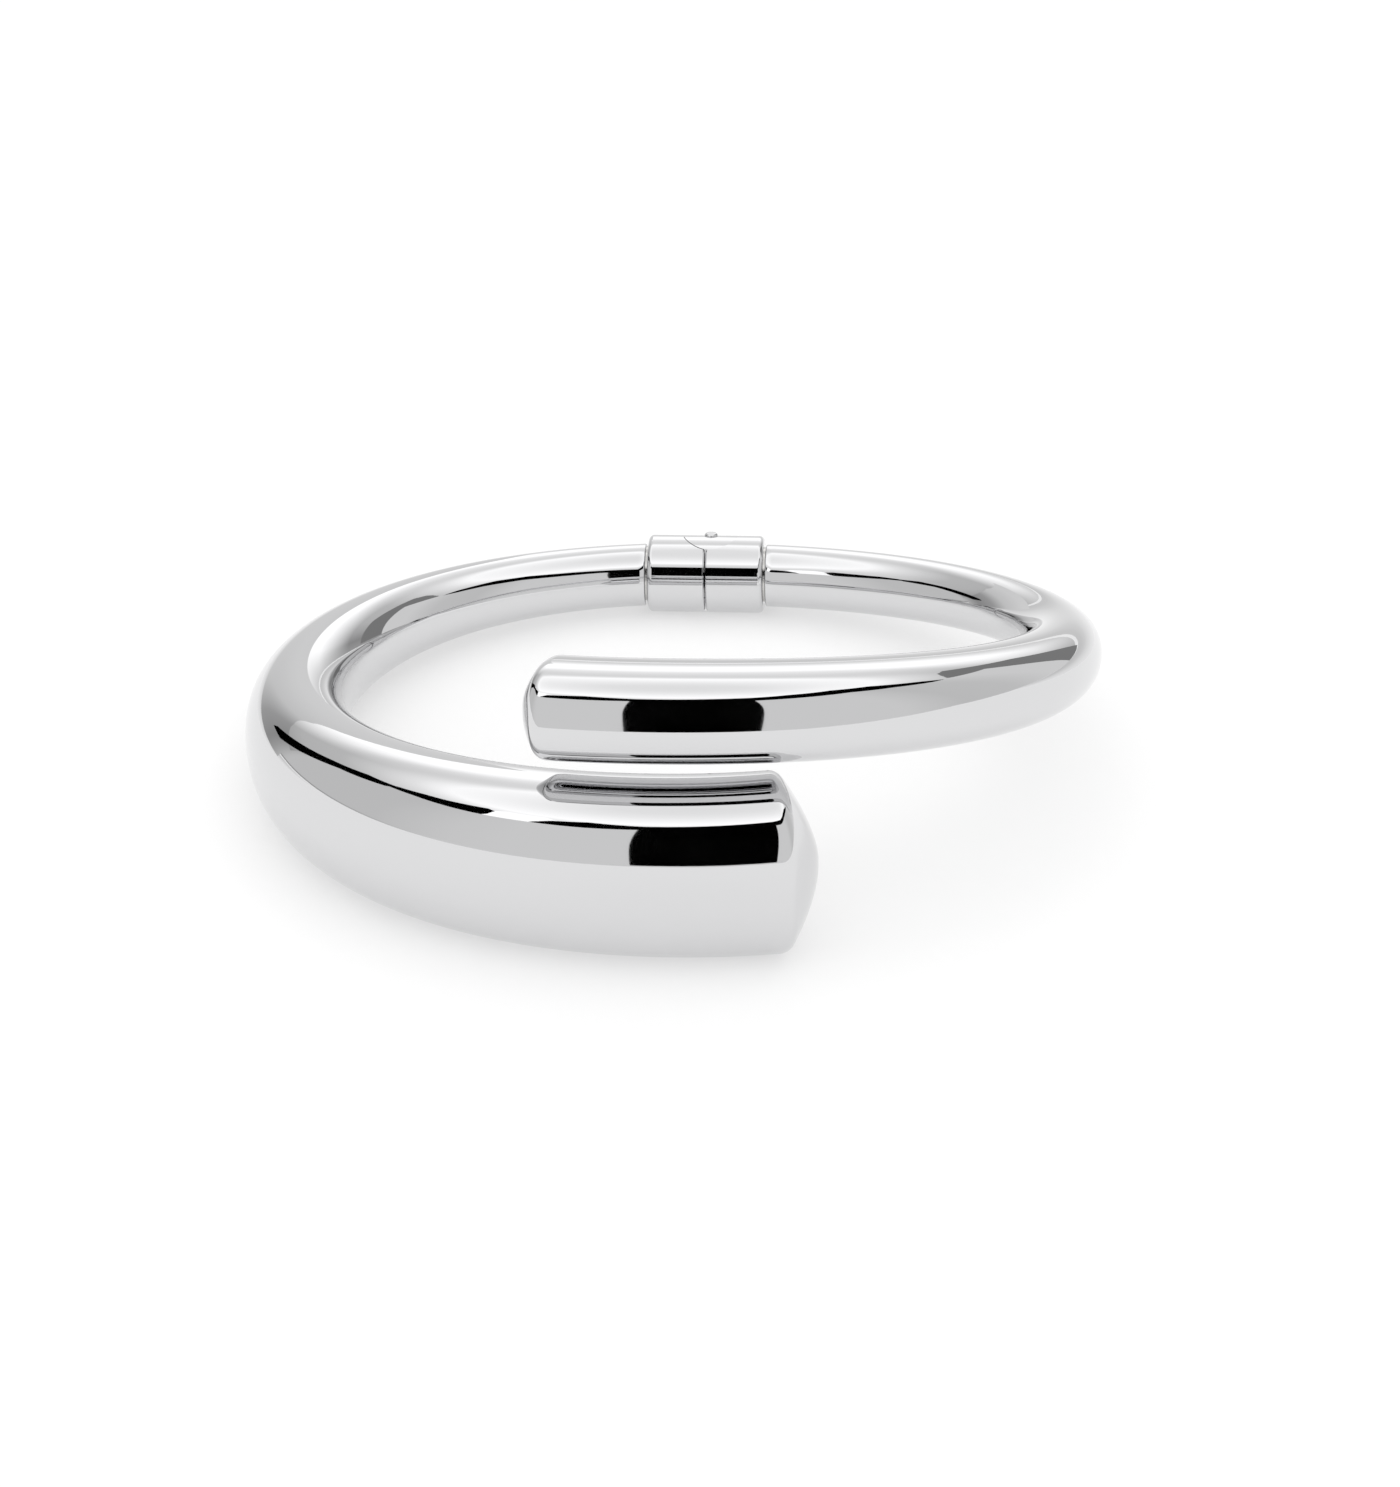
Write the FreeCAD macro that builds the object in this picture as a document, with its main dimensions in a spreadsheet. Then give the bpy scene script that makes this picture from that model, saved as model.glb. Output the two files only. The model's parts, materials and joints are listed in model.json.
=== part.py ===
"""Hinged bypass bangle: two hollow tapered arms on one sprung hinge.

Millimetres. +Z is up as the bangle lies at rest, the hinge is at +Y and the two
free ends pass each other at -Y. The origin is under the middle of the bangle, on
the surface that it lies on. Each arm is a tube on a flat oval path, and each
path leans about the hinge's long axis, so the free ends lie one over the other.
"""
import FreeCAD, Part
import math
import os

import Sketcher
from FreeCAD import Placement, Rotation, Vector

DIMENSIONS = {
    # where the hinge's middle stands
    "hinge_across": 0.75,
    "hinge_back": 27.23,
    # the wrist opening, measured in the plane of an arm
    "opening_half_width": 26.2,
    "opening_half_depth": 22.2,
    "opening_fullness": 0.01,
    # the arms: round tubes at the hinge
    "tube_radius": 2.5,
    "wall": 0.6,
    "left_end_half_thickness": 5.4,
    "left_end_half_height": 6.9,
    "left_end_squareness": 2.4,
    "left_lean": 4.3,
    "left_sag": 0.1,
    "left_growth_start": 0.0,
    "left_growth_end": 1.09,
    "left_reach": 1.093,
    "left_dome": 2.75,
    "right_end_half_thickness": 4.6,
    "right_end_half_height": 3.78,
    "right_end_squareness": 2.55,
    "right_lean": 17.4,
    "right_sag": 0.455,
    "right_growth_start": 0.19,
    "right_growth_end": 1.075,
    "right_reach": 1.087,
    "right_dome": 1.8,
    # the end caps
    "lip_depth": 1.2,
    "lip_wall": 0.5,
    "lip_clearance": 0.05,
    # the hinge's two collars and what fills them
    "collar_radius": 3.1,
    "collar_bore": 2.2,
    "collar_length": 4.65,
    "collar_rim": 0.4,
    "butt_gap": 0.07,
    "butt_bevel": 0.1,
    "block_length": 3.4,
    "tube_start": 4.82,
    "spigot_radius": 1.4,
    "spigot_length": 0.9,
    "spigot_drop": 0.3,
    # knuckles, pin and spring
    "pin_across": 0.35,
    "pin_back": 0.5,
    "pin_radius": 0.55,
    "pin_top": 3.3,
    "pin_bottom": 3.0,
    "pin_dome": 0.25,
    "pin_clearance": 0.03,
    "knuckle_radius": 2.2,
    "knuckle_clearance": 0.06,
    "fork_start": 1.5,
    "tongue_start": 0.65,
    "tongue_end": 1.45,
    "open_relief_angle": 36.0,
    "wire_radius": 0.15,
    "coil_radius": 1.2,
    "coil_pitch": 0.32,
    "coil_turns": 3.0,
    "spring_leg": 2.1,
}
PATH_STEPS = 22
ARC_STEPS = 12
DOME_STEPS = 6
DOME_POWER = 1.7
SECTION_SETTLES = 0.1
BEYOND = 2.0

os.makedirs("parts", exist_ok=True)
doc = FreeCAD.newDocument("bypass_bangle")
sheet = doc.addObject("Spreadsheet::Sheet", "dims")
for row, (alias, value) in enumerate(DIMENSIONS.items(), 1):
    sheet.set("A%d" % row, alias)
    sheet.set("B%d" % row, str(value))
    sheet.setAlias("B%d" % row, alias)
doc.recompute()

nodes = []


def dim(alias):
    return float(getattr(sheet, alias))


HINGE_MIDDLE = Vector(dim("hinge_across"), dim("hinge_back"), dim("collar_radius"))
PIN_LEAN = (dim("left_lean") + dim("right_lean")) / 2
HINGE_FRAME = Placement(HINGE_MIDDLE, Rotation(Vector(1, 0, 0), -PIN_LEAN))
RIGHT, LEFT = 1, -1


def bind(obj, **expressions):
    """Drive properties from the sheet; an underscore pair stands for a dot."""
    for name, expression in expressions.items():
        obj.setExpression(name.replace("__", "."), expression)


def keep(obj, label, placement=None):
    """Name a finished sub-part and list it for export."""
    obj.Label = label
    if placement is not None:
        obj.Placement = placement
    nodes.append(obj)
    return obj


# ---------------------------------------------------------------- hinge, in its own frame:
# X runs along the collars, Y points out of the bangle, Z along the pin

def bar_along_x(name, side, radius, start, length):
    """A cylinder about the collars' axis on one side of the butt plane."""
    bar = doc.addObject("Part::Cylinder", name)
    bar.Placement = Placement(Vector(0, 0, 0), Rotation(Vector(0, 1, 0), 90))
    first = start if side == RIGHT else "-(%s) - (%s)" % (start, length)
    bind(bar, Radius=radius, Height=length, Placement__Base__x=first)
    return bar


def bar_along_pin(name, radius, start, length):
    """A cylinder about the pin's axis."""
    bar = doc.addObject("Part::Cylinder", name)
    bind(bar, Radius=radius, Height=length, Placement__Base__x="dims.pin_across",
         Placement__Base__y="dims.pin_back", Placement__Base__z=start)
    return bar


def boolean(kind, name, parts):
    obj = doc.addObject(kind, name)
    if kind == "Part::Cut":
        obj.Base, obj.Tool = parts
    else:
        obj.Shapes = parts
    return obj


def knuckle_relief(name, side):
    """What is cut from one half of the hinge: the knuckles' bed and the V that lets it open."""
    beyond = "(dims.collar_radius + %g)" % BEYOND
    clear = "dims.knuckle_radius + dims.knuckle_clearance"
    cutters = [bar_along_pin(name + "_bed", "dims.knuckle_radius", "-" + beyond, "2 * " + beyond)]
    if side == RIGHT:
        cutters.append(bar_along_pin(name + "_tongue_room", clear, "-dims.fork_start",
                                     "2 * dims.fork_start"))
    else:
        for end, start in (("upper", "dims.tongue_end"), ("lower", "-dims.tongue_end - " + beyond)):
            cutters.append(bar_along_pin(name + "_fork_room_" + end, clear, start, beyond))
    notch = doc.addObject("Part::Box", name + "_notch")
    turn = -side * dim("open_relief_angle")
    pin_foot = Vector(dim("pin_across"), dim("pin_back"), 0)
    corner = Vector(-BEYOND * 3 if side == RIGHT else 0, 0, -dim("collar_radius") - BEYOND)
    spin = Rotation(Vector(0, 0, 1), turn)
    notch.Placement = Placement(pin_foot + spin.multVec(corner), spin)
    notch.Length = BEYOND * 3
    bind(notch, Width="2 * dims.collar_radius", Height="2 * " + beyond)
    return boolean("Part::MultiFuse", name, cutters + [notch])


def origin_plane(body, role):
    return next(f for f in body.Origin.OriginFeatures if f.Role == role)


def collar_blank(name, side):
    """A plain collar, turned about X, with a small bevel at the butt and a round outer rim."""
    body = doc.addObject("PartDesign::Body", name)
    sketch = body.newObject("Sketcher::SketchObject", name + "_profile")
    sketch.AttachmentSupport = [(origin_plane(body, "XY_Plane"), "")]
    sketch.MapMode = "FlatFace"
    corners = [("butt_gap", "collar_bore"), ("butt_gap", "collar_radius - dims.butt_bevel"),
               ("butt_gap + dims.butt_bevel", "collar_radius"), ("collar_length", "collar_radius"),
               ("collar_length", "collar_bore")]
    points = [Vector(2 + i, 2 + i * i, 0) for i in range(len(corners))]
    for i, point in enumerate(points):
        sketch.addGeometry(Part.LineSegment(point, points[(i + 1) % len(points)]))
    for i in range(len(corners)):
        sketch.addConstraint(Sketcher.Constraint("Coincident", i, 2, (i + 1) % len(corners), 1))
    for i, (along, out) in enumerate(corners):
        for kind, value in (("DistanceX", along), ("DistanceY", out)):
            index = sketch.addConstraint(Sketcher.Constraint(kind, -1, 1, i, 1, 3.0 + i))
            sketch.setExpression("Constraints[%d]" % index, "dims." + value)
    turned = body.newObject("PartDesign::Revolution", name + "_turned")
    turned.Profile = sketch
    turned.ReferenceAxis = (sketch, ["H_Axis"])
    turned.Angle = 360.0
    doc.recompute()
    rim = body.newObject("PartDesign::Fillet", name + "_rim")
    outer = [i for i, edge in enumerate(turned.Shape.Edges, 1) if is_outer_rim(edge)]
    rim.Base = (turned, ["Edge%d" % i for i in outer])
    bind(rim, Radius="dims.collar_rim")
    body.Tip = rim
    if side == LEFT:
        body.Placement = Placement(Vector(0, 0, 0), Rotation(Vector(0, 0, 1), 180))
    return body


def is_outer_rim(edge):
    curve = edge.Curve
    return (curve.TypeId == "Part::GeomCircle"
            and abs(curve.Radius - dim("collar_radius")) < 1e-6
            and abs(curve.Center.x - dim("collar_length")) < 1e-6)


def hinge_half(prefix, side):
    """Collar, hinge block and tube plug of one arm."""
    relief = knuckle_relief(prefix + "_relief", side)
    blank = collar_blank(prefix + "_collar_blank", side)
    keep(boolean("Part::Cut", prefix + "_collar_cut", (blank, relief)),
         prefix + "_hinge_collar", HINGE_FRAME)

    solid_block = bar_along_x(prefix + "_block_bar", side, "dims.collar_bore", "dims.butt_gap",
                              "dims.block_length - dims.butt_gap")
    leg_hole = bar_along_x(prefix + "_leg_hole", side, "dims.wire_radius + dims.pin_clearance",
                           "dims.butt_gap", "dims.spring_leg + dims.pin_clearance")
    bind(leg_hole, Placement__Base__y="dims.pin_back - dims.coil_radius",
         Placement__Base__z="%d * dims.coil_pitch * dims.coil_turns / 2" % side)
    leg_room = boolean("Part::MultiFuse", prefix + "_block_cutters", [relief, leg_hole])
    keep(boolean("Part::Cut", prefix + "_block_cut", (solid_block, leg_room)),
         prefix + "_hinge_block", HINGE_FRAME)

    plug = bar_along_x(prefix + "_plug_bar", side, "dims.collar_bore", "dims.block_length",
                       "dims.tube_start - dims.block_length")
    spigot = bar_along_x(prefix + "_spigot", side, "dims.spigot_radius", "dims.block_length",
                         "dims.tube_start + dims.spigot_length - dims.block_length")
    bind(spigot, Placement__Base__y="-dims.spigot_drop")
    keep(boolean("Part::MultiFuse", prefix + "_plug_fuse", [plug, spigot]),
         prefix + "_tube_plug", HINGE_FRAME)


def knuckle(label, start, end, hole):
    """One length of hinge tube about the pin, trimmed flush with the collars."""
    barrel = bar_along_pin(label + "_barrel", "dims.knuckle_radius", start,
                           "(%s) - (%s)" % (end, start))
    trim = bar_along_x(label + "_trim", RIGHT, "dims.collar_radius", "-dims.collar_length",
                       "2 * dims.collar_length")
    shaped = boolean("Part::MultiCommon", label + "_shaped", [barrel, trim])
    bore = bar_along_pin(label + "_bore", hole, "(%s) - 1" % start,
                         "(%s) - (%s) + 2" % (end, start))
    keep(boolean("Part::Cut", label + "_cut", (shaped, bore)), label, HINGE_FRAME)


def hinge_pin():
    body = doc.addObject("PartDesign::Body", "hinge_pin_body")
    rod = body.newObject("PartDesign::AdditiveCylinder", "pin_rod")
    bind(rod, Radius="dims.pin_radius", Height="dims.pin_top + dims.pin_bottom")
    doc.recompute()
    ends = [i for i, edge in enumerate(rod.Shape.Edges, 1)
            if edge.Curve.TypeId == "Part::GeomCircle"]
    domes = body.newObject("PartDesign::Fillet", "pin_domes")
    domes.Base = (rod, ["Edge%d" % i for i in ends])
    bind(domes, Radius="dims.pin_dome")
    body.Tip = domes
    foot = Vector(dim("pin_across"), dim("pin_back"), -dim("pin_bottom"))
    keep(body, "hinge_pin", HINGE_FRAME.multiply(Placement(foot, Rotation())))


def hinge_spring():
    """A torsion coil about the pin; one straight leg goes into each hinge block."""
    coil_height = "dims.coil_pitch * dims.coil_turns"
    helix = doc.addObject("Part::Helix", "spring_helix")
    bind(helix, Radius="dims.coil_radius", Pitch="dims.coil_pitch", Height=coil_height)
    wire = doc.addObject("Part::Circle", "spring_wire")
    bind(wire, Radius="dims.wire_radius", Placement__Base__x="dims.coil_radius")
    wire.Placement = Placement(Vector(dim("coil_radius"), 0, 0), Rotation(Vector(1, 0, 0), 90))
    coil = doc.addObject("Part::Sweep", "spring_coil")
    coil.Sections = [wire]
    coil.Spine = (helix, ["Edge1"])
    coil.Solid = True
    coil.Frenet = True
    coil.Placement = Placement(Vector(dim("pin_across"), dim("pin_back"), 0),
                               Rotation(Vector(0, 0, 1), -90))
    bind(coil, Placement__Base__z="-%s / 2" % coil_height)
    legs = []
    for name, side in (("left_leg", LEFT), ("right_leg", RIGHT)):
        reach = "dims.spring_leg + %d * dims.pin_across" % -side
        leg = bar_along_x("spring_" + name, side, "dims.wire_radius",
                          "%d * dims.pin_across" % side, reach)
        bind(leg, Placement__Base__y="dims.pin_back - dims.coil_radius",
             Placement__Base__z="%d * %s / 2" % (side, coil_height))
        legs.append(leg)
    keep(boolean("Part::MultiFuse", "spring_fuse", [coil] + legs), "hinge_spring", HINGE_FRAME)


# ---------------------------------------------------------------- arms

def ease(u):
    """0 to 1 with no jump in slope or curvature at either end."""
    u = min(max(u, 0.0), 1.0)
    return u ** 3 * (10 - 15 * u + 6 * u * u)


class Arm:
    """One hollow arm. A fraction of 0 is the hinge's middle and 1 is opposite it."""

    def __init__(self, prefix, side):
        self.prefix = prefix
        self.side = side
        self.start = self.find_start()

    def size(self, name):
        return dim(self.prefix + "_" + name)

    def growth(self, fraction):
        begin, end = self.size("growth_start"), self.size("growth_end")
        return ease((fraction - begin) / (end - begin))

    def half_thickness(self, fraction):
        base = dim("tube_radius")
        return base + (self.size("end_half_thickness") - base) * self.growth(fraction)

    def half_height(self, fraction):
        base = dim("tube_radius")
        return base + (self.size("end_half_height") - base) * self.growth(fraction)

    def squareness(self, fraction):
        return 2 + (self.size("end_squareness") - 2) * self.growth(fraction)

    def middle_and_heading(self, fraction):
        """The section's middle in the arm's plane, and the angle that it has turned through."""
        angle = math.pi * fraction
        full = dim("opening_fullness")
        width, depth = dim("opening_half_width"), dim("opening_half_depth")
        x = width * (math.sin(angle) + full * math.sin(3 * angle)) / (1 - full)
        y = depth * (math.cos(angle) - full * math.cos(3 * angle)) / (1 - full)
        along = width * (math.cos(angle) + 3 * full * math.cos(3 * angle))
        back = depth * (math.sin(angle) - 3 * full * math.sin(3 * angle))
        heading = math.atan2(back, along)
        if fraction > 1:
            heading += 2 * math.pi if heading < 0 else 0
        out = self.half_thickness(fraction)
        x += out * math.sin(heading)
        y += out * math.cos(heading) - depth - dim("tube_radius")
        sag = -self.size("sag") * math.sin(min(angle, math.pi)) ** 2
        return Vector(self.side * x, y, sag), heading

    def find_start(self):
        """The fraction at which the tube's middle leaves the tube plug's face."""
        low, high = 0.0, 0.3
        for _ in range(40):
            half = (low + high) / 2
            if abs(self.middle_and_heading(half)[0].x) < dim("tube_start"):
                low = half
            else:
                high = half
        return low

    def frame(self, fraction):
        """Middle, outward and upward directions of the section, about the hinge's middle."""
        middle, heading = self.middle_and_heading(fraction)
        heading *= ease((fraction - self.start) / SECTION_SETTLES)
        lean = Rotation(Vector(1, 0, 0), -self.size("lean"))
        outward = Vector(self.side * math.sin(heading), math.cos(heading), 0)
        return lean.multVec(middle), lean.multVec(outward), lean.multVec(Vector(0, 0, 1))

    def outline(self, fraction, inset=0.0, scale=1.0, shift=0.0, halves=(0, 180)):
        """Closed outline, as one arc for each half that starts at the given angles."""
        middle, outward, up = self.frame(fraction)
        ahead = outward.cross(up) * self.side
        a = (self.half_thickness(fraction) - inset) * scale
        b = (self.half_height(fraction) - inset) * scale
        power = 2 / self.squareness(fraction)
        arcs = []
        for first in halves:
            points = []
            for i in range(ARC_STEPS + 1):
                turn = math.radians(first - 90 + 180 * i / ARC_STEPS)
                c, s = math.cos(turn), math.sin(turn)
                x = math.copysign(abs(c) ** power, c) * a
                y = math.copysign(abs(s) ** power, s) * b
                if i in (0, ARC_STEPS):
                    x = 0.0
                points.append(middle + outward * x + up * y + ahead * shift)
            level = outward if first == 0 else -outward
            curve = Part.BSplineCurve()
            curve.interpolate(Points=points, InitialTangent=level, FinalTangent=-level)
            arcs.append(curve.toShape())
        return arcs

    def fractions(self):
        step = (self.size("reach") - self.start) / PATH_STEPS
        return [self.start + step * i for i in range(PATH_STEPS + 1)]

    def half_shell(self, first):
        """Half of the hollow tube; its two seams are the tube's top and bottom lines."""
        wires = []
        for fraction in self.fractions():
            outer = self.outline(fraction, halves=(first,))[0]
            inner = self.outline(fraction, inset=dim("wall"), halves=(first,))[0]
            ends = [(e.valueAt(e.FirstParameter), e.valueAt(e.LastParameter)) for e in (outer, inner)]
            low_seam = Part.makeLine(ends[1][0], ends[0][0])
            high_seam = Part.makeLine(ends[0][1], ends[1][1])
            wires.append(Part.Wire([low_seam, outer, high_seam, inner]))
        return Part.makeLoft(wires, True, False)

    def dome(self, inset, height):
        """The solid dome past the arm's last section, blunt at its very top."""
        wires = []
        for i in range(DOME_STEPS + 1):
            scale = 1 - 0.9 * (i / DOME_STEPS)
            rise = height * (1 - scale ** DOME_POWER)
            wires.append(Part.Wire(self.outline(self.size("reach"), inset, scale, rise)))
        return Part.makeLoft(wires, True, False)

    def lip(self, inset):
        """A plug that fills the tube's mouth, smaller than the outside by the inset."""
        reach = self.size("reach")
        depth = dim("lip_depth") / (math.pi * dim("opening_half_width"))
        wires = [Part.Wire(self.outline(f, inset)) for f in (reach - depth, reach - depth / 2, reach)]
        return Part.makeLoft(wires, True, False)

    def end_cap(self):
        rim = dim("wall") + dim("lip_clearance")
        hollow = rim + dim("lip_wall")
        crown = self.dome(0, self.size("dome")).cut(self.dome(hollow, self.size("dome") - rim))
        ring = self.lip(rim).cut(self.lip(hollow))
        return crown.fuse(ring).removeSplitter()

    def build(self):
        for label, shape in (("outer_shell", self.half_shell(0)), ("inner_shell", self.half_shell(180)),
                             ("end_cap", self.end_cap())):
            feature = doc.addObject("Part::Feature", self.prefix + "_" + label + "_shape")
            feature.Shape = shape
            keep(feature, self.prefix + "_" + label, Placement(HINGE_MIDDLE, Rotation()))


# ---------------------------------------------------------------- the assembly

for arm_prefix, arm_side in (("right", RIGHT), ("left", LEFT)):
    Arm(arm_prefix, arm_side).build()
    hinge_half(arm_prefix, arm_side)

FIXED_HOLE = "dims.pin_radius"
RUNNING_HOLE = "dims.pin_radius + dims.pin_clearance"
knuckle("right_upper_knuckle", "dims.fork_start", "dims.collar_radius", FIXED_HOLE)
knuckle("right_lower_knuckle", "-dims.collar_radius", "-dims.fork_start", FIXED_HOLE)
knuckle("left_upper_knuckle", "dims.tongue_start", "dims.tongue_end", RUNNING_HOLE)
knuckle("left_lower_knuckle", "-dims.tongue_end", "-dims.tongue_start", RUNNING_HOLE)
hinge_pin()
hinge_spring()
doc.recompute()

broken = [o.Name for o in doc.Objects if "Invalid" in o.State or "Error" in o.State]
if broken:
    raise RuntimeError("failed objects: %s" % ", ".join(broken))
for node in nodes:
    if node.Shape.isNull() or not node.Shape.isValid() or not node.Shape.Solids:
        raise RuntimeError("bad shape: " + node.Label)
for node in nodes:
    node.Shape.exportStep("parts/%s.step" % node.Label)
    print("%-22s %9.2f mm3  %d solid(s)" % (node.Label, node.Shape.Volume, len(node.Shape.Solids)))
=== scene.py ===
import json
import math

import bpy
import numpy as np
from mathutils import Matrix, Vector


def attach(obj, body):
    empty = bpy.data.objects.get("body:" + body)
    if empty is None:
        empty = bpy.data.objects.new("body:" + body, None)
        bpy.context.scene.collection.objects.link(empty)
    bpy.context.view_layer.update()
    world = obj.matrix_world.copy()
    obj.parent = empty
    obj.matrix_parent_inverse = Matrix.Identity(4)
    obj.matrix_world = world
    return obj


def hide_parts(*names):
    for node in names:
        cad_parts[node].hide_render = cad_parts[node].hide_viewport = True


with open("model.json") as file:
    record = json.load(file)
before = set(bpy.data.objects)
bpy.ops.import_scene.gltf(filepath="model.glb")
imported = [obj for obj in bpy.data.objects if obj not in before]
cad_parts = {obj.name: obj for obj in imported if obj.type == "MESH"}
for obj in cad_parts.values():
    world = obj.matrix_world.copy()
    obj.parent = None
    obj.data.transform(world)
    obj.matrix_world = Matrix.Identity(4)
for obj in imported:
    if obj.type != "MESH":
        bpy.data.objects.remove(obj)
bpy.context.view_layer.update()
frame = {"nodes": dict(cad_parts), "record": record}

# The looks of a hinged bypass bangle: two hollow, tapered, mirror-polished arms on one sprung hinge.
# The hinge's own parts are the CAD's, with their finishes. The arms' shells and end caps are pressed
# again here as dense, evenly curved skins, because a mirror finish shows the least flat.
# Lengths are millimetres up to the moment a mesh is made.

MM = 0.001

# ---------------------------------------------------------------- sizes of the bangle, as in the CAD

HINGE_MIDDLE = np.array((0.75, 27.23, 3.1))
OPENING_HALF_WIDTH = 26.2
OPENING_HALF_DEPTH = 22.2
OPENING_FULLNESS = 0.01
TUBE_RADIUS = 2.5
TUBE_START = 4.82
WALL = 0.6
# the part of an arm over which its sections turn from square to the hinge to square to the oval
SECTION_SETTLES = 0.1
DOME_POWER = 1.7
LIP_CLEARANCE = 0.05
LIP_WALL = 0.5
LIP_DEPTH = 1.2

# ---------------------------------------------------------------- what the skins add

RIM_ROUNDING = 0.6
MOUTH_ROUNDING = 0.12
# an arm's length from the hinge to opposite it, near enough to turn a small length into a fraction
ARM_LENGTH = math.pi * (OPENING_HALF_WIDTH + TUBE_RADIUS)

# how finely a skin is divided: rows follow one another along an arm, columns go round it
MOUTH_ROWS = 4
LIP_ROWS = 3
TUBE_ROWS = 200
ROUNDING_ROWS = 12
SHELL_ROUNDING_ROWS = ROUNDING_ROWS // 2
DOME_ROWS = 40
HOLLOW_ROWS = 20
HALF_COLUMNS = 44
TURNS = np.radians(np.linspace(-90, 270, 2 * HALF_COLUMNS + 1))


def ease(u):
    """0 to 1 with no jump in slope or curvature at either end."""
    u = np.clip(u, 0.0, 1.0)
    return u ** 3 * (10 - 15 * u + 6 * u * u)


def unit(vectors):
    return vectors / np.linalg.norm(vectors, axis=-1, keepdims=True)


def dome_rise(scale, height):
    """How far a ring of the dome, shrunk by this scale, stands past the rim."""
    return height * (1 - scale ** DOME_POWER)


class Arm:
    """One arm's shape. A fraction of 0 is the hinge's middle and 1 is opposite it."""

    def __init__(self, prefix, side, lean, sag, end_sizes, squareness, growth, reach, dome):
        self.prefix = prefix
        self.body = prefix + "_arm"
        self.side = side
        self.lean = np.array(Matrix.Rotation(math.radians(-lean), 3, "X"))
        self.sag = sag
        self.end_half_thickness, self.end_half_height = end_sizes
        self.end_squareness = squareness
        self.growth_start, self.growth_end = growth
        self.reach = reach
        self.dome = dome
        self.start = self.find_start()

    def section_sizes(self, fraction):
        """Half thickness, half height and squareness."""
        grown = ease((fraction - self.growth_start) / (self.growth_end - self.growth_start))
        return (TUBE_RADIUS + (self.end_half_thickness - TUBE_RADIUS) * grown,
                TUBE_RADIUS + (self.end_half_height - TUBE_RADIUS) * grown,
                2 + (self.end_squareness - 2) * grown)

    def middle_and_heading(self, fraction):
        """The section's middle in the arm's own plane, and the angle the arm has turned through."""
        angle = math.pi * fraction
        full = OPENING_FULLNESS
        x = OPENING_HALF_WIDTH * (np.sin(angle) + full * np.sin(3 * angle)) / (1 - full)
        y = OPENING_HALF_DEPTH * (np.cos(angle) - full * np.cos(3 * angle)) / (1 - full)
        along = OPENING_HALF_WIDTH * (np.cos(angle) + 3 * full * np.cos(3 * angle))
        back = OPENING_HALF_DEPTH * (np.sin(angle) - 3 * full * np.sin(3 * angle))
        heading = np.arctan2(back, along)
        heading = np.where((fraction > 1) & (heading < 0), heading + 2 * math.pi, heading)
        out = self.section_sizes(fraction)[0]
        x = x + out * np.sin(heading)
        y = y + out * np.cos(heading) - OPENING_HALF_DEPTH - TUBE_RADIUS
        sag = -self.sag * np.sin(np.minimum(angle, math.pi)) ** 2
        return np.stack((self.side * x, y, sag), -1), heading

    def find_start(self):
        """The fraction at which the tube's middle leaves the tube plug's face, by halving."""
        low, high = 0.0, 0.3
        for _ in range(40):
            half = (low + high) / 2
            if abs(self.middle_and_heading(half)[0][0]) < TUBE_START:
                low = half
            else:
                high = half
        return low

    def frames(self, fraction):
        """Middle, outward, upward and ahead directions of each section."""
        middle, heading = self.middle_and_heading(fraction)
        heading = heading * ease((fraction - self.start) / SECTION_SETTLES)
        outward = np.stack((self.side * np.sin(heading), np.cos(heading), 0 * heading), -1) @ self.lean.T
        up = np.broadcast_to(self.lean @ (0, 0, 1), outward.shape)
        return middle @ self.lean.T, outward, up, np.cross(outward, up) * self.side

    def ahead(self, fraction):
        return self.frames(np.array([fraction]))[3][0]

    def rings(self, fraction, inset=0.0, scale=1.0, shift=0.0):
        """Points of the sections, one row for each fraction, and the direction round each section."""
        fraction = np.atleast_1d(np.asarray(fraction, float))
        inset, scale, shift = (np.broadcast_to(v, fraction.shape)[:, None] for v in (inset, scale, shift))
        thick, tall, square = (v[:, None] for v in self.section_sizes(fraction))
        middle, outward, up, ahead = (v[:, None, :] for v in self.frames(fraction))
        cosine, sine = np.cos(TURNS)[None, :], np.sin(TURNS)[None, :]
        power = 2 / square
        across = np.copysign(np.abs(cosine) ** power, cosine) * (thick - inset) * scale
        upright = np.copysign(np.abs(sine) ** power, sine) * (tall - inset) * scale
        points = middle + outward * across[..., None] + up * upright[..., None] + ahead * shift[..., None]
        round_across = -(thick - inset) * sine * np.abs(sine) ** (1 - power)
        round_upright = (tall - inset) * cosine * np.abs(cosine) ** (1 - power)
        return points, outward * round_across[..., None] + up * round_upright[..., None]


# ---------------------------------------------------------------- pressing the skins

def slopes_along(points):
    """Direction along the columns of a grid whose rows may be unevenly spaced."""
    steps = np.diff(points, axis=0)
    gaps = np.linalg.norm(steps, axis=-1, keepdims=True)
    speeds = steps / np.maximum(gaps, 1e-9)
    inner = (speeds[:-1] * gaps[1:] + speeds[1:] * gaps[:-1]) / (gaps[:-1] + gaps[1:])
    return np.concatenate((speeds[:1], inner, speeds[-1:]))


def facing_normals(points, round_section, facing):
    """Surface normals of a grid, on the side that the facing directions point to."""
    normals = unit(np.cross(round_section, slopes_along(points)))
    wrong = np.sum(normals * facing, axis=-1, keepdims=True) < 0
    return np.where(wrong, -normals, normals)


def squares(grid):
    """The four corners of every square of a grid."""
    return np.stack((grid[:-1, :-1], grid[1:, :-1], grid[1:, 1:], grid[:-1, 1:]), 2).reshape(-1, 4, 3)


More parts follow.
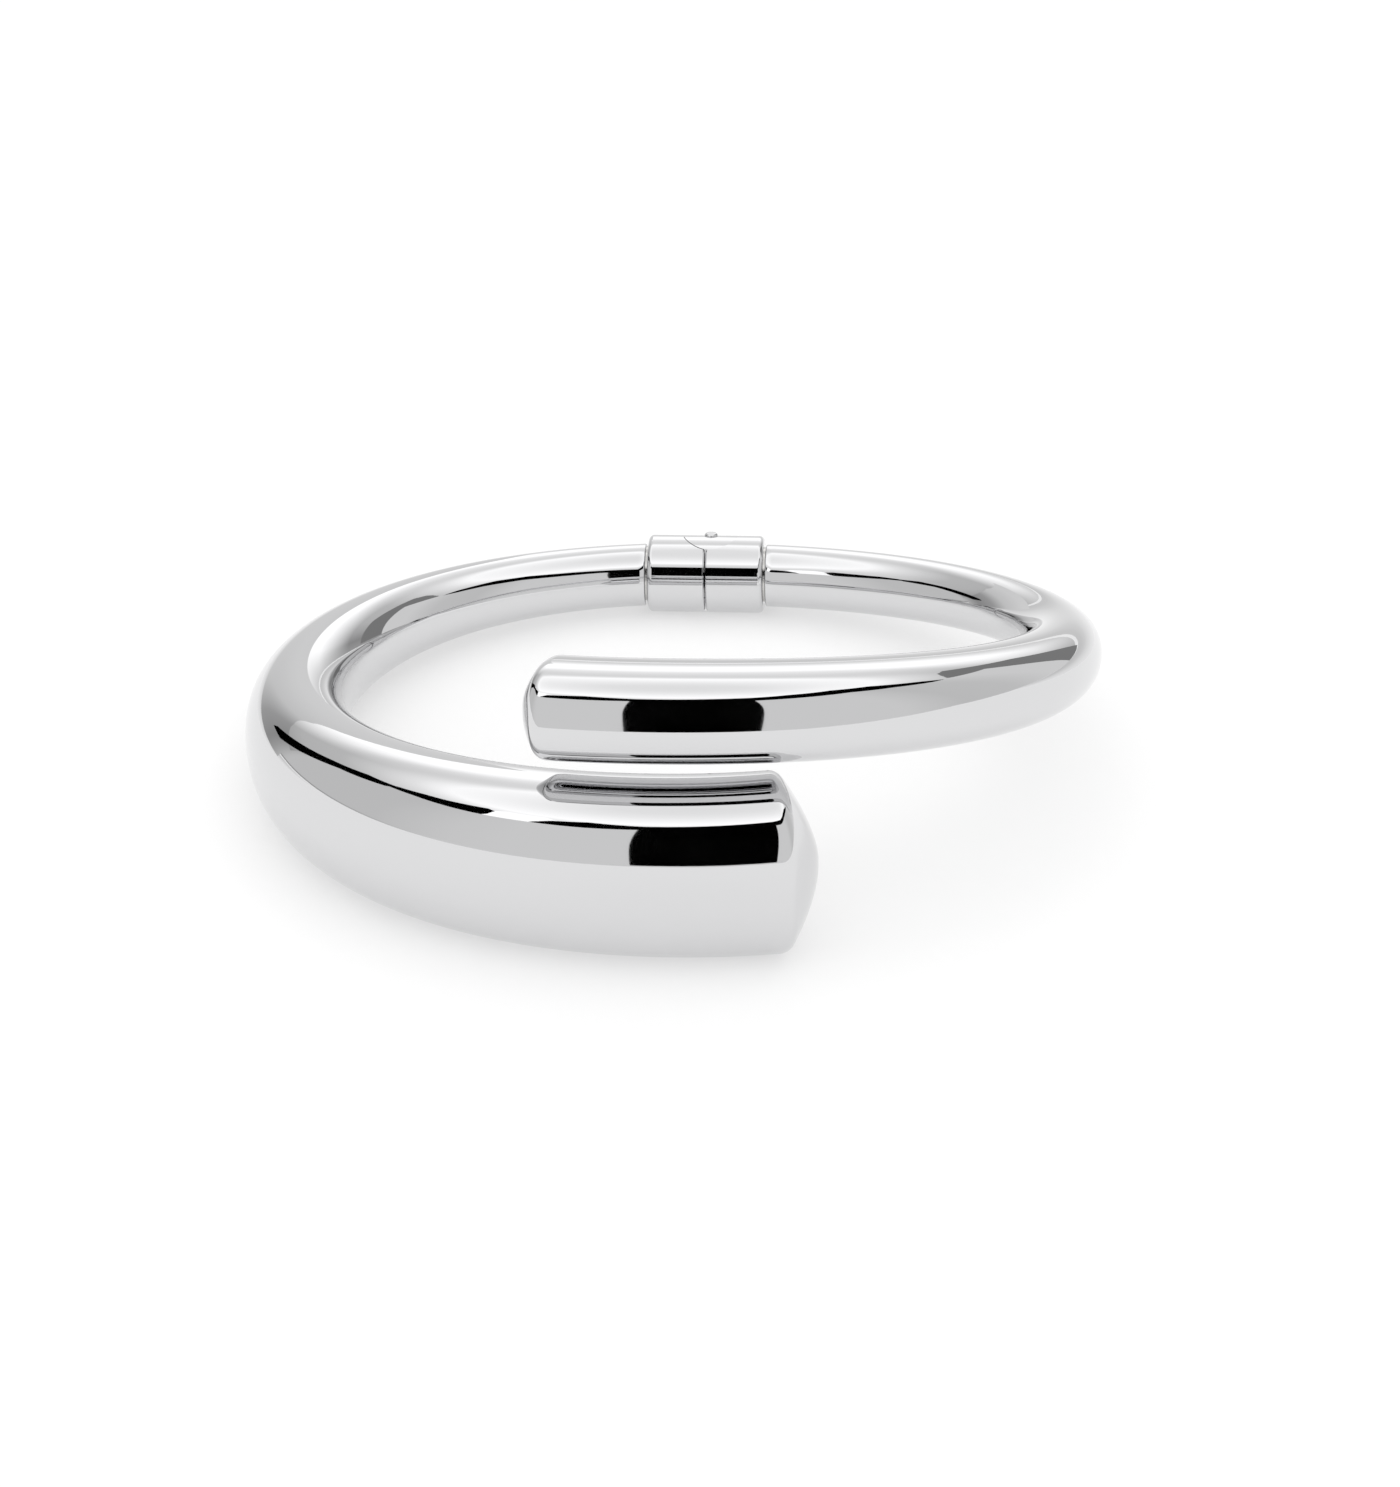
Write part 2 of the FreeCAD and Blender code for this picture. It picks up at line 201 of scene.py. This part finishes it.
def press(name, patches, body, node, finish):
    """One closed piece from grids of points with their normals. Points that meet are welded."""
    corners, shading = [], []
    for points, normals in patches:
        quads, directions = squares(points), squares(np.broadcast_to(normals, points.shape))
        across_corners = np.cross(quads[:, 2] - quads[:, 0], quads[:, 3] - quads[:, 1])
        inside_out = np.sum(across_corners * directions.sum(1), axis=1) < 0
        for grid in (quads, directions):
            grid[inside_out] = grid[inside_out][:, ::-1]
        corners.append(quads)
        shading.append(directions)
    corners, shading = np.concatenate(corners), np.concatenate(shading)
    _, first, index = np.unique(np.round(corners.reshape(-1, 3), 4), axis=0,
                                return_index=True, return_inverse=True)
    faces, loops = [], []
    for quad, normals in zip(index.reshape(-1, 4).tolist(), shading.tolist()):
        kept = [i for i in range(4) if quad[i] != quad[i - 1]]
        if len(kept) > 2 and len({quad[i] for i in kept}) == len(kept):
            faces.append([quad[i] for i in kept])
            loops.extend(normals[i] for i in kept)
    mesh = bpy.data.meshes.new(name)
    places = (corners.reshape(-1, 3)[first] + HINGE_MIDDLE) * MM
    mesh.from_pydata(places.tolist(), [], faces)
    mesh.polygons.foreach_set("use_smooth", [True] * len(faces))
    mesh.normals_split_custom_set(loops)
    mesh.validate()
    mesh.materials.append(finish)
    piece = bpy.data.objects.new(name, mesh)
    bpy.context.scene.collection.objects.link(piece)
    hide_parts(node)
    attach(piece, body)


def arm_skin(arm):
    """An arm's whole outer surface, from the tube's slightly rounded mouth at the hinge to the dome's tip:
    its points, its normals, and the fractions of the rows up to where the far rim starts to round."""
    mouth = np.linspace(0, math.pi / 2, MOUTH_ROWS + 1)[:-1]
    mouth_depth = MOUTH_ROUNDING / ARM_LENGTH
    straight = np.linspace(arm.start + mouth_depth, arm.reach - RIM_ROUNDING / ARM_LENGTH, TUBE_ROWS)
    fractions = np.concatenate((arm.start + mouth_depth * (1 - np.cos(mouth)), straight))
    insets = np.concatenate((MOUTH_ROUNDING * (1 - np.sin(mouth)), np.zeros(TUBE_ROWS)))
    tube, tube_round = arm.rings(fractions, inset=insets)

    dome_scale = 1 - RIM_ROUNDING / math.hypot(arm.end_half_thickness, DOME_POWER * arm.dome)
    scales = np.linspace(dome_scale, 0, DOME_ROWS)
    dome, dome_round = arm.rings([arm.reach] * DOME_ROWS, scale=scales, shift=dome_rise(scales, arm.dome))
    corner, corner_round = arm.rings(arm.reach)
    bend = np.linspace(0, 1, ROUNDING_ROWS + 1)[1:-1, None, None]
    rim = (1 - bend) ** 2 * tube[-1] + 2 * bend * (1 - bend) * corner[0] + bend ** 2 * dome[0]

    skin = np.concatenate((tube, rim, dome))
    skin_round = np.concatenate((tube_round, np.broadcast_to(corner_round, rim.shape), dome_round))
    past_tube = np.broadcast_to(tube[-1].mean(0), (len(rim) + len(dome), 1, 3))
    middles = np.concatenate((tube.mean(1, keepdims=True), past_tube))
    normals = facing_normals(skin, skin_round, skin - middles)
    normals[-1] = arm.ahead(arm.reach)
    return skin, normals, fractions


def press_shells(arm, skin, normals, fractions, finish):
    """The outer and inner half shells: the skin up to the middle of the rim, the bore, and their edges."""
    rim_fractions = np.linspace(fractions[-1], arm.reach, SHELL_ROUNDING_ROWS + 1)[1:]
    bore_fractions = np.concatenate((fractions, rim_fractions))
    rows = len(bore_fractions)
    bore, bore_round = arm.rings(bore_fractions, inset=WALL)
    bore_normals = facing_normals(bore, bore_round, bore.mean(1, keepdims=True) - bore)
    outward = arm.frames(bore_fractions)[1][:, None, :]
    behind, ahead = -arm.ahead(arm.start), arm.ahead(arm.reach)
    for half, first, inward in (("outer", 0, -1), ("inner", HALF_COLUMNS, 1)):
        last = first + HALF_COLUMNS
        columns = slice(first, last + 1)
        shell, inside = skin[:rows, columns], bore[:, columns]
        patches = [(shell, normals[:rows, columns]), (inside, bore_normals[:, columns]),
                   (np.stack((shell[0], inside[0])), behind), (np.stack((shell[-1], inside[-1])), ahead)]
        for edge in (first, last):
            patches.append((np.stack((skin[:rows, edge], bore[:, edge]), 1), inward * outward))
        press(f"{arm.prefix}_{half}_skin", patches, arm.body, f"{arm.prefix}_{half}_shell", finish)


def press_cap(arm, skin, normals, fractions, finish):
    """The end cap: the rest of the skin, hollow behind, with a lip that plugs the tube's end."""
    last_shell_row = len(fractions) + SHELL_ROUNDING_ROWS - 1
    rim_middle = skin[len(fractions) - 1].mean(0)
    ahead = arm.ahead(arm.reach)
    lip_outside = WALL + LIP_CLEARANCE
    lip_inside = lip_outside + LIP_WALL
    scales = np.linspace(1, 0, HOLLOW_ROWS)
    hollow, hollow_round = arm.rings([arm.reach] * HOLLOW_ROWS, inset=lip_inside, scale=scales,
                                     shift=dome_rise(scales, arm.dome - lip_outside))
    hollow_normals = facing_normals(hollow, hollow_round, rim_middle - hollow)
    hollow_normals[-1] = -ahead
    lip_fractions = np.linspace(arm.reach - LIP_DEPTH / ARM_LENGTH, arm.reach, LIP_ROWS)
    outside, outside_round = arm.rings(lip_fractions, inset=lip_outside)
    within, within_round = arm.rings(lip_fractions, inset=lip_inside)
    lip_middle = outside.mean(1, keepdims=True)
    patches = [(skin[last_shell_row:], normals[last_shell_row:]), (hollow, hollow_normals),
               (outside, facing_normals(outside, outside_round, outside - lip_middle)),
               (within, facing_normals(within, within_round, lip_middle - within)),
               (np.stack((outside[0], within[0])), -ahead),
               (np.stack((outside[-1], skin[last_shell_row])), -ahead)]
    press(f"{arm.prefix}_cap_skin", patches, arm.body, f"{arm.prefix}_end_cap", finish)


# ---------------------------------------------------------------- finishes

def colour(sheet_value):
    """A linear colour from its sRGB hex value."""
    parts = [int(sheet_value[i:i + 2], 16) / 255 for i in (1, 3, 5)]
    return [p / 12.92 if p <= 0.04045 else ((p + 0.055) / 1.055) ** 2.4 for p in parts] + [1.0]


def add(tree, kind, inputs=None, stops=(), **settings):
    """One node. An input is given a plain value, or another node's socket to link to. Stops are (place, grey
    level) pairs, for a colour ramp."""
    node = tree.nodes.new(kind)
    for name, value in settings.items():
        setattr(node, name, value)
    for name, value in (inputs or {}).items():
        if isinstance(value, bpy.types.NodeSocket):
            tree.links.new(value, node.inputs[name])
        else:
            node.inputs[name].default_value = value
    if stops:
        marks = node.color_ramp.elements
        marks.remove(marks[1])
        for place, level in stops:
            mark = marks[0] if place == stops[0][0] else marks.new(place)
            mark.position = place
            mark.color = (level, level, level, 1)
    return node


def new_finish(name):
    material = bpy.data.materials.new(name)
    material.use_nodes = True
    material.node_tree.nodes.clear()
    return material, material.node_tree


def per_mm(size):
    """The noise scale, in metres, whose cells are this many millimetres wide."""
    return 1 / (size * MM)


def metal(name, shade, roughness, haze, waves, lines):
    """A bare or plated metal. Waves are the slow unevenness that polishing leaves, and lines are the fine
    marks of the last tool: each is (width, height) in millimetres. The haze is how far the roughness strays."""
    wave_width, wave_height = waves
    line_width, line_height = lines
    material, tree = new_finish(name)
    place = add(tree, "ShaderNodeTexCoord").outputs["Object"]
    swell = add(tree, "ShaderNodeTexNoise", {"Vector": place, "Scale": per_mm(wave_width), "Detail": 2.0})
    # a tool's marks run several times as long as they are wide
    run = add(tree, "ShaderNodeMapping", {"Vector": place, "Scale": (0.15, 0.6, 1.0),
                                          "Rotation": (0.2, 0.3, 0.1)})
    marks = add(tree, "ShaderNodeTexNoise", {"Vector": run.outputs[0], "Scale": per_mm(line_width),
                                             "Detail": 4.0})
    patchy = add(tree, "ShaderNodeMapRange", {"Value": swell.outputs[0], "From Min": 0.3, "From Max": 0.7,
                                              "To Min": roughness - haze, "To Max": roughness + haze})
    uneven = add(tree, "ShaderNodeBump", {"Height": swell.outputs[0], "Distance": wave_height * MM})
    marked = add(tree, "ShaderNodeBump", {"Height": marks.outputs[0], "Distance": line_height * MM,
                                          "Normal": uneven.outputs[0]})
    shader = add(tree, "ShaderNodeBsdfPrincipled", {"Base Color": colour(shade), "Metallic": 1.0,
                                                    "Roughness": patchy.outputs[0],
                                                    "Normal": marked.outputs[0]})
    add(tree, "ShaderNodeOutputMaterial", {"Surface": shader.outputs[0]})
    return material


FINISHES = {
    # Brass, silver plated, buffed on a soft wheel and flashed with rhodium: a cool, neutral mirror. The wheel
    # leaves swells a few millimetres wide that bend a straight reflection a little. The cloth's hairlines are
    # hundredths of a millimetre wide, and are drawn 0.3 mm wide here so that they show at all.
    "polished_plate": metal("mirror_polished_silver_plate", "#d8d8d9", roughness=0.03, haze=0.012,
                            waves=(4.0, 0.0025), lines=(0.3, 0.0001)),
    # Turned and milled brass under the same plate, which no buff reaches: a trace warmer and duller than the
    # arms, with the tool's feed marks, 0.15 mm apart.
    "hinge_metal": metal("turned_plated_brass", "#c9c8c6", roughness=0.15, haze=0.05,
                         waves=(1.2, 0.002), lines=(0.15, 0.0012)),
    # Stainless steel ground between wheels, its heads polished flush: a little darker than the plate and
    # nearly as smooth, with grinding lines 0.1 mm apart.
    "pin_metal": metal("ground_stainless_steel", "#d0d0d1", roughness=0.06, haze=0.02,
                       waves=(0.8, 0.0015), lines=(0.1, 0.0004)),
    # Spring wire drawn through a die and left as drawn: grey, with die lines 0.08 mm apart that spread its
    # highlight.
    "spring_wire": metal("drawn_spring_steel", "#8f9094", roughness=0.28, haze=0.06,
                         waves=(0.5, 0.001), lines=(0.08, 0.0015)),
}

# ---------------------------------------------------------------- the bangle

ARMS = (
    Arm("left", -1, lean=4.3, sag=0.1, end_sizes=(5.4, 6.9), squareness=2.4, growth=(0.0, 1.09),
        reach=1.093, dome=2.75),
    Arm("right", 1, lean=17.4, sag=0.455, end_sizes=(4.6, 3.78), squareness=2.55, growth=(0.19, 1.075),
        reach=1.087, dome=1.8),
)
for arm in ARMS:
    skin, normals, fractions = arm_skin(arm)
    press_shells(arm, skin, normals, fractions, FINISHES["polished_plate"])
    press_cap(arm, skin, normals, fractions, FINISHES["polished_plate"])
for part in frame["record"]["subparts"]:
    for slot in frame["nodes"][part["node"]].material_slots:
        slot.material = FINISHES[part["material_slot"]]

# ---------------------------------------------------------------- the camera

VIEW_DOWN = math.radians(28.773)
VIEW_YAW = math.radians(-4.422)
VIEW_ROLL = math.radians(-1.387)
CAMERA_DISTANCE = 600.0
SENSOR = 36.0
LENS = 180.121
# the slopes, across and up, by which the line of sight passes the hinge's middle
AIM_ACROSS = -0.00091
AIM_UP = -0.022827
NEAR_CLIP = 0.05
FAR_CLIP = 50.0


def place_camera():
    """A long lens that looks down on the hinge over the free ends, from just right of the front."""
    forward = Vector((math.sin(VIEW_YAW) * math.cos(VIEW_DOWN), math.cos(VIEW_YAW) * math.cos(VIEW_DOWN),
                      -math.sin(VIEW_DOWN)))
    level = Vector((math.cos(VIEW_YAW), -math.sin(VIEW_YAW), 0))
    rise = level.cross(forward)
    right = level * math.cos(VIEW_ROLL) + rise * math.sin(VIEW_ROLL)
    above = rise * math.cos(VIEW_ROLL) - level * math.sin(VIEW_ROLL)
    sight = (forward + right * AIM_ACROSS + above * AIM_UP).normalized()
    right = (right - sight * right.dot(sight)).normalized()
    eye = Vector(HINGE_MIDDLE) - forward * CAMERA_DISTANCE
    lens = bpy.data.cameras.new("studio_camera")
    lens.sensor_width = SENSOR
    lens.lens = LENS
    lens.clip_start = NEAR_CLIP
    lens.clip_end = FAR_CLIP
    camera = bpy.data.objects.new("studio_camera", lens)
    turned = Matrix((right, right.cross(sight), -sight)).transposed().to_4x4()
    camera.matrix_world = Matrix.Translation(eye * MM) @ turned
    bpy.context.scene.collection.objects.link(camera)
    bpy.context.scene.camera = camera


place_camera()

# ---------------------------------------------------------------- the table

TABLE_HALF_WIDTH = 3000.0
# the table lies a hair below the bangle, so that no two surfaces share a place
TABLE_DROP = 0.05
SHADE_STARTS = 40.0
SHADE_SETTLES = 240.0
SHADE_ENDS = 400.0
SHADE_HEIGHT = 0.2


def stage_piece(name, corners, faces, finish):
    """A stage piece from its corners, in millimetres."""
    mesh = bpy.data.meshes.new(name)
    mesh.from_pydata([[c * MM for c in corner] for corner in corners], [], faces)
    mesh.materials.append(finish)
    piece = bpy.data.objects.new(name, mesh)
    bpy.context.scene.collection.objects.link(piece)
    return piece


def only_reflected(piece):
    """Leaves a stage piece to be seen in the polish and nowhere else."""
    piece.visible_camera = False
    piece.visible_diffuse = False
    piece.visible_shadow = False
    piece.visible_transmission = False


def opal_acrylic():
    """Opal acrylic sheet, lit from beneath as well as from the tent, so that shadows stay faint and close."""
    material, tree = new_finish("opal_acrylic_light_table")
    matt = add(tree, "ShaderNodeBsdfDiffuse", {"Color": colour("#cbcbcb")})
    glow = add(tree, "ShaderNodeEmission", {"Strength": 0.42})
    both = add(tree, "ShaderNodeAddShader", {0: matt.outputs[0], 1: glow.outputs[0]})
    add(tree, "ShaderNodeOutputMaterial", {"Surface": both.outputs[0]})
    material.cycles.emission_sampling = "NONE"
    return material


def glowing(name, strength, shading=None):
    """A surface that gives its own light, so many times as bright as plain white. Shading, where there is
    any, is a function that adds a grey pattern's nodes to the tree and returns the last of them."""
    material, tree = new_finish(name)
    inputs = {"Strength": strength}
    if shading:
        inputs["Color"] = shading(tree).outputs[0]
    shader = add(tree, "ShaderNodeEmission", inputs)
    add(tree, "ShaderNodeOutputMaterial", {"Surface": shader.outputs[0]})
    material.cycles.emission_sampling = "NONE"
    return material


def darker_backwards(tree):
    where = add(tree, "ShaderNodeTexCoord")
    place = add(tree, "ShaderNodeSeparateXYZ", {"Vector": where.outputs["Object"]})
    back = add(tree, "ShaderNodeMapRange", {"Value": place.outputs[1], "From Min": SHADE_STARTS * MM,
                                            "From Max": SHADE_SETTLES * MM})
    return add(tree, "ShaderNodeValToRGB", {"Fac": back.outputs[0]},
               [(0, 1.0), (0.15, 0.88), (0.35, 0.76), (0.7, 0.7)])


def level_sheet(half_width, front, back, height):
    """The corners of a level rectangle."""
    return [(-half_width, front, height), (half_width, front, height), (half_width, back, height),
            (-half_width, back, height)]


stage_piece("table", level_sheet(TABLE_HALF_WIDTH, -TABLE_HALF_WIDTH, TABLE_HALF_WIDTH, -TABLE_DROP),
            [(0, 1, 2, 3)], opal_acrylic())
# Behind the bangle the table falls into shade towards its far edge, where only the polish sees it.
only_reflected(stage_piece("back_of_table", level_sheet(SHADE_ENDS, SHADE_STARTS, SHADE_ENDS, SHADE_HEIGHT),
                           [(0, 1, 2, 3)], glowing("shaded_opal_acrylic", 1.03, darker_backwards)))

# ---------------------------------------------------------------- cards round the table

# Curved cards that only the polish sees: pale walls with a slot for the lens, a lamp, and black flags behind
# and above the walls that give the polish its dark lines. A card is (finish, how far behind the walls it
# stands, posts), and each post is (angle round from the front, lowest and highest angle above the table).
CARD_RADIUS = 150.0
CARD_MIDDLE = (0.0, -10.0, 12.0)


def paler_at_the_front(tree):
    """Pale in front, greyer at the sides and darkest at the back left. On the ramp 0 is the left of the
    table, 0.25 its front and 0.5 its right."""
    where = add(tree, "ShaderNodeTexCoord")
    place = add(tree, "ShaderNodeSeparateXYZ", {"Vector": where.outputs["Object"]})
    angle = add(tree, "ShaderNodeMath", {0: place.outputs[1], 1: place.outputs[0]}, operation="ARCTAN2")
    share = add(tree, "ShaderNodeMapRange", {"Value": angle.outputs[0], "From Min": -math.pi,
                                             "From Max": math.pi})
    return add(tree, "ShaderNodeValToRGB", {"Fac": share.outputs[0]},
               [(0, 0.7), (0.06, 0.7), (0.12, 0.8), (0.15, 0.82), (0.4, 0.82), (0.45, 0.7), (0.51, 0.72),
                (0.56, 0.84), (0.64, 0.84), (0.7, 0.8), (0.8, 0.82), (0.85, 0.72), (0.885, 0.42),
                (0.92, 0.34), (0.935, 0.45), (0.955, 0.7)])


wall_card = glowing("pale_wall_card", 1.0, paler_at_the_front)
black_card = glowing("black_card", 0.0)
dim_card = glowing("dim_card", 0.25)
lamp_card = glowing("lamp_card", 1.5)
CARDS = {
    "left_wall": (wall_card, 0, [(-113, 0, 24), (-110, 0, 32), (-105, 0, 35), (-80, 0, 39), (-57, 0, 40),
                                 (-40, 0, 42), (-25, 0, 43), (-11, 0, 45), (-9, 0, 0)]),
    "right_wall": (wall_card, 0, [(20, 0, 0), (26, 0, 46), (45, 0, 48), (65, 0, 50), (85, 0, 47),
                                  (100, 0, 42), (112, 0, 40), (130, 0, 32)]),
    "back_left_wall": (wall_card, 0, [(-170, -4.5, 16), (-150, -4.5, 20), (-136, -4.5, 18), (-125, -4.5, 14),
                                      (-113, -4.5, 8)]),
    "slot_flag": (black_card, 3, [(-13, 0, 51), (5, 0, 52), (29, 0, 54)]),
    "front_flag": (black_card, 2, [(-40, 38, 43), (-37, 38, 49), (-28, 39, 53), (-10, 40, 51), (5, 40, 52),
                                   (29, 41, 54)]),
    "left_flag": (black_card, 2, [(-92, 35, 41), (-84, 36, 45), (-76, 37, 47), (-62, 38, 51), (-57, 38, 49),
                                  (-54, 38, 43)]),
    "right_flag": (black_card, 2, [(29, 42, 54), (45, 42, 57), (70, 43, 59), (90, 41, 56), (104, 36, 46),
                                   (113, 28, 34)]),
    "left_end_flag": (black_card, -2, [(-127, 5, 8), (-120, 6, 18), (-113, 14, 28), (-104, 27, 37),
                                       (-90, 36, 41)]),
    "right_end_flag": (dim_card, 1, [(112, 39, 41), (122, 32, 43), (130, 0, 43), (138, 0, 40), (146, 0, 22)]),
    "lamp": (lamp_card, 3, [(-60, 38, 46), (-56, 38, 52), (-42, 38, 53), (-36, 38, 50)]),
}


def stand_card(name, finish, behind, posts):
    """A card bent round the table, with a corner every degree between its posts."""
    angles = np.arange(posts[0][0], posts[-1][0] + 0.5)
    radius = CARD_RADIUS + behind
    corners = []
    for edge in (1, 2):
        heights = np.interp(angles, [post[0] for post in posts], [post[edge] for post in posts])
        for angle, height in zip(np.radians(angles), np.radians(heights)):
            corners.append((CARD_MIDDLE[0] + radius * math.sin(angle),
                            CARD_MIDDLE[1] - radius * math.cos(angle),
                            CARD_MIDDLE[2] + radius * math.tan(height)))
    count = len(angles)
    faces = [(k, k + 1, count + k + 1, count + k) for k in range(count - 1)]
    only_reflected(stage_piece(name, corners, faces, finish))


for name, card in CARDS.items():
    stand_card(name, *card)

# ---------------------------------------------------------------- the light

# A white tent, brightest where its lamps stand, and greyer at the sides. Each pair is (degrees above the
# table, how many times as bright as plain white).
BRIGHTEST = 1.6
FRONT_AND_BACK = [(0, 0.8), (5, 1.0), (12, 1.38), (19, 1.5), (27, 1.45), (34, 1.15), (42, 1.02), (50, 0.95),
                  (54, 1.15), (58, 1.48), (64, 1.35), (72, 1.18), (80, 1.08), (90, 1.04)]
SIDES = [(0, 0.42), (8, 0.34), (16, 0.5), (24, 0.62), (36, 0.66), (44, 0.85), (52, 1.1), (58, 1.4), (66, 1.3),
         (80, 1.08), (90, 1.04)]
# how far the sides' levels hold, from straight behind the bangle, 0, to straight in front of it, 1
SIDE_SHARE = [(0, 0), (0.06, 0), (0.2, 1), (0.42, 1), (0.55, 0.7), (0.7, 0)]


def white_tent():
    world = bpy.data.worlds.new("white_tent")
    world.use_nodes = True
    tree = world.node_tree
    tree.nodes.clear()
    sky = add(tree, "ShaderNodeTexCoord")
    toward = add(tree, "ShaderNodeSeparateXYZ", {"Vector": sky.outputs["Generated"]})
    steep = add(tree, "ShaderNodeMath", {0: toward.outputs[2]}, operation="ARCSINE")
    height = add(tree, "ShaderNodeMath", {0: steep.outputs[0], 1: 2 / math.pi}, operation="MULTIPLY",
                 use_clamp=True)
    angle = add(tree, "ShaderNodeMath", {0: toward.outputs[0], 1: toward.outputs[1]}, operation="ARCTAN2")
    either_way = add(tree, "ShaderNodeMath", {0: angle.outputs[0]}, operation="ABSOLUTE")
    sideways = add(tree, "ShaderNodeMath", {0: either_way.outputs[0], 1: math.pi}, operation="DIVIDE")
    front_and_back, sides = (
        add(tree, "ShaderNodeValToRGB", {"Fac": height.outputs[0]},
            [(degrees / 90, level / BRIGHTEST) for degrees, level in levels])
        for levels in (FRONT_AND_BACK, SIDES))
    share = add(tree, "ShaderNodeValToRGB", {"Fac": sideways.outputs[0]}, SIDE_SHARE)
    light = add(tree, "ShaderNodeMix", {0: share.outputs[0], 6: front_and_back.outputs[0],
                                        7: sides.outputs[0]}, data_type="RGBA")
    background = add(tree, "ShaderNodeBackground", {"Color": light.outputs[2], "Strength": BRIGHTEST})
    add(tree, "ShaderNodeOutputWorld", {"Surface": background.outputs[0]})
    return world


bpy.context.scene.world = white_tent()
bpy.context.scene.view_settings.view_transform = "Standard"
